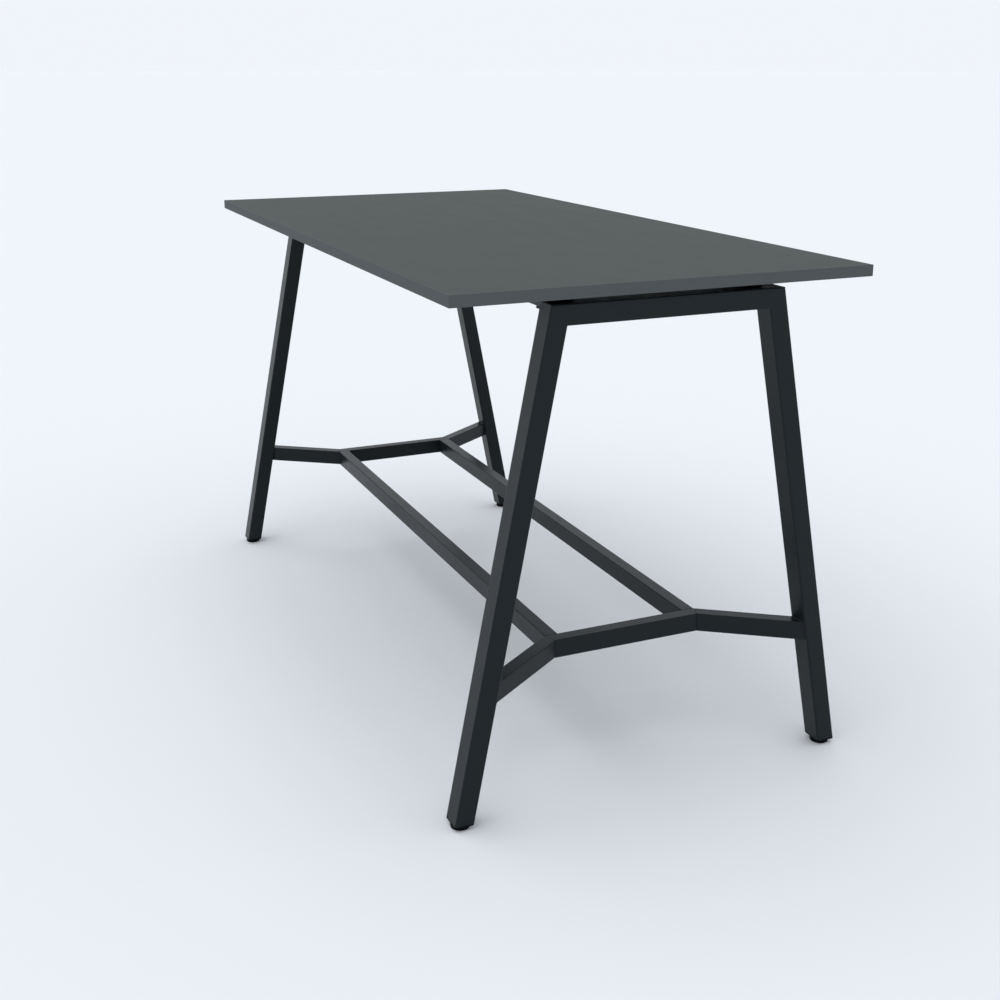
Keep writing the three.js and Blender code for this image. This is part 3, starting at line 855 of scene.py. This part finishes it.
class TABLE_OT_end_frames(bpy.types.Operator):
    """Makes the legs and top tubes of both end frames, and the welds in their inner corners"""

    bl_idname = "table.make_end_frames"
    bl_label = "Make End Frames"

    def execute(self, context):
        sizes = context.scene.table_sizes
        corner, wall = sizes.frame_corner, sizes.frame_wall
        for end in ENDS:
            lines = EndFrame(end)
            node = f"top_tube_{end}"
            section = (lines.depth, lines.tube_top - lines.tube_bottom)
            patches = tube(lines.tube_run(), section, corner, wall, lines.mitre(-1), lines.mitre(1))
            make_piece(f"{node}_coated", patches, "powder_coat", stands_for=node)
            for side, sign in SIDES.items():
                node = f"leg_{end}_{side}"
                run = lines.leg_run(sign)
                section = (lines.leg_face, lines.depth)
                foot = Cut(run.middle + sizes.cap_height * UP, -UP)
                patches = tube(run, section, corner, wall, foot, lines.mitre(sign).flipped())
                make_piece(f"{node}_coated", patches, "powder_coat", stands_for=node)
                patches = self.corner_weld(lines, sign, sizes)
                make_piece(f"corner_weld_{end}_{side}", patches, "powder_coat")
        return {"FINISHED"}

    @staticmethod
    def corner_weld(lines, side, sizes):
        """Bead across a frame's inner corner, from the top tube's underside to the leg's inner face."""
        corner = lines.point(side * lines.inner_reach(lines.tube_bottom), lines.tube_bottom)
        half = lines.depth / 2 - sizes.frame_corner
        path = corner + np.linspace(-half, half, STRAIGHT_WELD_POINTS)[:, None] * ALONG
        return weld_bead(path, -side * ACROSS, -lines.leg_run(side).along, sizes.weld, closed=False)


class TABLE_OT_top_rails(bpy.types.Operator):
    """Makes the rails under the top, the plates that seat them and the welds that hold those plates"""

    bl_idname = "table.make_top_rails"
    bl_label = "Make Top Rails"

    def execute(self, context):
        sizes = context.scene.table_sizes
        for side in SIDES:
            node = f"top_rail_{side}"
            patches = square_tube(node, sizes.rail_corner, sizes.rail_wall)
            make_piece(f"{node}_coated", patches, "powder_coat", stands_for=node)
            for end in ENDS:
                node = f"rail_seat_{end}_{side}"
                patches = slab(node, sizes.plate_corner, sizes.plate_rounding)
                make_piece(f"{node}_coated", patches, "powder_coat", stands_for=node)
                patches = self.seat_weld(node, end, sizes)
                make_piece(f"seat_weld_{end}_{side}", patches, "powder_coat")
        return {"FINISHED"}

    @staticmethod
    def seat_weld(node, end, sizes):
        """Bead under the end of a seat, from the back of the top tube to the plate's underside."""
        low, high = span(node)
        lines = EndFrame(end)
        inward = -ENDS[end] * ALONG
        half = (high[0] - low[0]) / 2 - sizes.plate_corner
        middle = lines.point((low[0] + high[0]) / 2, low[2]) + lines.depth / 2 * inward
        path = middle + np.linspace(-half, half, STRAIGHT_WELD_POINTS)[:, None] * ACROSS
        return weld_bead(path, -UP, inward, sizes.weld, closed=False)


class TABLE_OT_footrest(bpy.types.Operator):
    """Makes the footrest's tubes and the welds that join its stubs to the legs"""

    bl_idname = "table.make_footrest"
    bl_label = "Make Footrest"

    def execute(self, context):
        sizes = context.scene.table_sizes
        corner, wall, seam = sizes.footrest_corner, sizes.footrest_wall, sizes.mitre_seam
        for end in ENDS:
            lines = FootrestEnd(end)
            node = f"footrest_cross_{end}"
            run = Run(lines.middle, ACROSS, UP)
            patches = tube(run, lines.section, corner, wall, lines.mitre(-1), lines.mitre(1), seam)
            make_piece(f"{node}_coated", patches, "powder_coat", stands_for=node)
            for side, sign in SIDES.items():
                node = f"footrest_stub_{end}_{side}"
                run = lines.stub_run(sign)
                leg_face = lines.frame.inner_face(sign)
                mitre = lines.mitre(sign).flipped()
                patches = tube(run, lines.section, corner, wall, mitre, leg_face, seam)
                make_piece(f"{node}_coated", patches, "powder_coat", stands_for=node)
                patches = self.stub_weld(run, lines.section, corner, leg_face, sizes.weld)
                make_piece(f"stub_weld_{end}_{side}", patches, "powder_coat")
                dress(f"rail_spigot_{end}_{side}", "powder_coat")
        for side in SIDES:
            node = f"footrest_rail_{side}"
            make_piece(f"{node}_coated", square_tube(node, corner, wall), "powder_coat", stands_for=node)
        return {"FINISHED"}

    @staticmethod
    def stub_weld(run, section, corner, leg_face, size):
        """Bead round the end of a stub. Its path is the stub's outline slid onto the leg's face, in even
        steps, and its outward direction is the outline's normal laid flat on that face."""
        outline, normal = rounded_rectangle(*section, corner)
        distance = np.insert(np.cumsum(np.linalg.norm(np.diff(outline, axis=0), axis=1)), 0, 0)
        even = np.linspace(0, distance[-1], ROUND_WELD_STEPS + 1)
        outline = np.stack([np.interp(even, distance, column) for column in outline.T], axis=-1)
        normal = np.stack([np.interp(even, distance, column) for column in normal.T], axis=-1)
        path = slide_onto(run.middle + outline @ run.axes(), run.along, leg_face)
        out = normal @ run.axes()
        out = unit(out - (out @ leg_face.normal)[:, None] * leg_face.normal)
        return weld_bead(path, out, np.broadcast_to(-run.along, path.shape), size, closed=True)


class TABLE_OT_fasteners(bpy.types.Operator):
    """Makes the bolts of the rail seats and footrest, and the wood screws that hold the board"""

    bl_idname = "table.make_fasteners"
    bl_label = "Make Fasteners"

    def execute(self, context):
        sizes = context.scene.table_sizes
        seat_socket = hexagon_opening(sizes.seat_bolt_socket)
        footrest_socket = hexagon_opening(sizes.footrest_bolt_socket)
        cross = cross_opening(sizes.screw_cross, sizes.screw_arm)
        for corner in CORNERS:
            bolt = (sizes.seat_bolt_shank, seat_socket, SOCKET_TAPER)
            self.fasten(f"seat_bolt_{corner}", f"rail_seat_{corner}", bolt)
            bolt = (sizes.footrest_bolt_shank, footrest_socket, SOCKET_TAPER)
            self.fasten(f"footrest_bolt_{corner}", "footrest_rail_left", bolt)
        for node in [name for name in frame["nodes"] if name.startswith("top_screw_")]:
            self.fasten(node, "top_rail_left", (sizes.screw_shank, cross, CROSS_TAPER))
        return {"FINISHED"}

    @staticmethod
    def fasten(node, held, shape):
        """Makes a fastener whose head bears on the underside of what it holds."""
        underside = span(held)[0][2]
        make_piece(f"{node}_plated", domed_fastener(node, underside, *shape), "zinc", stands_for=node)


class TABLE_OT_feet(bpy.types.Operator):
    """Makes the caps under the legs, the levelling pads and their threaded stems, and finishes the plugs"""

    bl_idname = "table.make_feet"
    bl_label = "Make Feet"

    def execute(self, context):
        sizes = context.scene.table_sizes
        for corner in CORNERS:
            dress(f"leg_plug_{corner}", "powder_coat")
            make_piece(f"leg_cap_{corner}", self.cap(corner, sizes), "pad_plastic")
            stem, pad = f"foot_stem_{corner}", f"foot_pad_{corner}"
            make_piece(f"{stem}_threaded", self.stem(stem, sizes), "zinc", f"stem_{corner}", stem)
            make_piece(f"{pad}_moulded", self.pad(pad, stem, sizes), "pad_plastic", f"pad_{corner}", pad)
        return {"FINISHED"}

    @staticmethod
    def cap(corner, sizes):
        """Rim that covers the end of a leg's tube, round the plug: a short run of the same tube with its
        outside set in and its edges bevelled."""
        end, side = corner.split("_")
        lines = EndFrame(end)
        run = lines.leg_run(SIDES[side])
        inset = sizes.cap_inset
        section = (lines.leg_face - 2 * inset, lines.depth - 2 * inset)
        top = Cut(run.middle + sizes.cap_height * UP, UP)
        rounding = sizes.frame_corner - inset
        return tube(run, section, rounding, sizes.frame_wall - inset, Cut(run.middle, -UP), top, 2 * inset)

    @staticmethod
    def pad(node, stem, sizes):
        """Turned pad: a moulded ring and hub underneath, rounded edges, a straight side and a socket."""
        low, high = span(node)
        stem_low, stem_high = span(stem)
        radius = (high[0] - low[0]) / 2
        height = high[2] - low[2]
        bore = (stem_high[0] - stem_low[0]) / 2 + PAD_SOCKET_GAP
        floor = stem_low[2] - low[2] - PAD_SOCKET_GAP
        hub, ring = PAD_HUB * radius, PAD_RING * radius
        edge, hollow = sizes.pad_rounding, sizes.pad_recess
        stretches = [
            straight((0, 0), (hub, 0)),
            straight((hub, 0), (hub + hollow, hollow)),
            straight((hub + hollow, hollow), (ring - hollow, hollow)),
            straight((ring - hollow, hollow), (ring, 0)),
            straight((ring, 0), (radius - edge, 0)),
            bend((radius - edge, edge), edge, -QUARTER_TURN, 0),
            straight((radius, edge), (radius, height - edge)),
            bend((radius - edge, height - edge), edge, 0, QUARTER_TURN),
            straight((radius - edge, height), (bore, height)),
            straight((bore, height), (bore, floor)),
            straight((bore, floor), (0, floor)),
        ]
        return turned(stretches, np.array([*centre_of(node)[:2], low[2]]))

    @staticmethod
    def stem(node, sizes):
        """Threaded stem: its radius at height z and angle t falls from the crest by the thread's depth
        times a flattened triangle wave of z / pitch - t / 2 pi, so the groove climbs one pitch in a turn.
        Both ends are chamfered."""
        low, high = span(node)
        radius = (high[0] - low[0]) / 2
        height = high[2] - low[2]
        ring, turn = circle()
        rise = np.linspace(0, height, int(height / sizes.thread_pitch * THREAD_ROWS_PER_TURN))[:, None]
        phase = (rise / sizes.thread_pitch - turn / WHOLE_TURN) % 1
        wave = np.abs(2 * phase - 1)
        groove = sizes.thread_depth * np.clip((wave - THREAD_FLAT) / (1 - 2 * THREAD_FLAT), 0, 1)
        chamfer = np.minimum(rise, height - rise) + radius - sizes.thread_depth
        reach = np.minimum(radius - groove, chamfer)
        axis = np.array([*centre_of(node)[:2], low[2]])
        points = axis + reach[:, :, None] * ring + rise[:, :, None] * UP
        normals = grid_normals(points, np.broadcast_to(ring, points.shape), closed=True)
        return [Patch(points, normals), fan(points[0], -UP), fan(points[-1], UP)]


OPERATORS = (
    TABLE_OT_stage,
    TABLE_OT_top,
    TABLE_OT_end_frames,
    TABLE_OT_top_rails,
    TABLE_OT_footrest,
    TABLE_OT_fasteners,
    TABLE_OT_feet,
)
SETTINGS = {"table_sizes": TableSizes, "table_colours": TableColours, "table_stage": TableStage}


class TABLE_PT_panel(bpy.types.Panel):
    """Lists the settings and the steps that build the table"""

    bl_idname = "TABLE_PT_panel"
    bl_label = "Standing Meeting Table"
    bl_space_type = "VIEW_3D"
    bl_region_type = "UI"
    bl_category = "Table"

    def draw(self, context):
        for name, settings in SETTINGS.items():
            box = self.layout.box()
            for key in settings.__annotations__:
                box.prop(getattr(context.scene, name), key)
        for operator in OPERATORS:
            self.layout.operator(operator.bl_idname)


CLASSES = (*SETTINGS.values(), *OPERATORS, TABLE_PT_panel)


def register():
    """Adds the classes and a scene's settings."""
    for cls in CLASSES:
        bpy.utils.register_class(cls)
    for name, settings in SETTINGS.items():
        setattr(bpy.types.Scene, name, PointerProperty(type=settings))


def unregister():
    """Takes away what register added."""
    for name in SETTINGS:
        delattr(bpy.types.Scene, name)
    for cls in reversed(CLASSES):
        bpy.utils.unregister_class(cls)


def main():
    """Builds the table."""
    register()
    bpy.ops.table.set_stage()
    bpy.ops.table.make_top()
    bpy.ops.table.make_end_frames()
    bpy.ops.table.make_top_rails()
    bpy.ops.table.make_footrest()
    bpy.ops.table.make_fasteners()
    bpy.ops.table.make_feet()


if __name__ == "__main__":
    main()
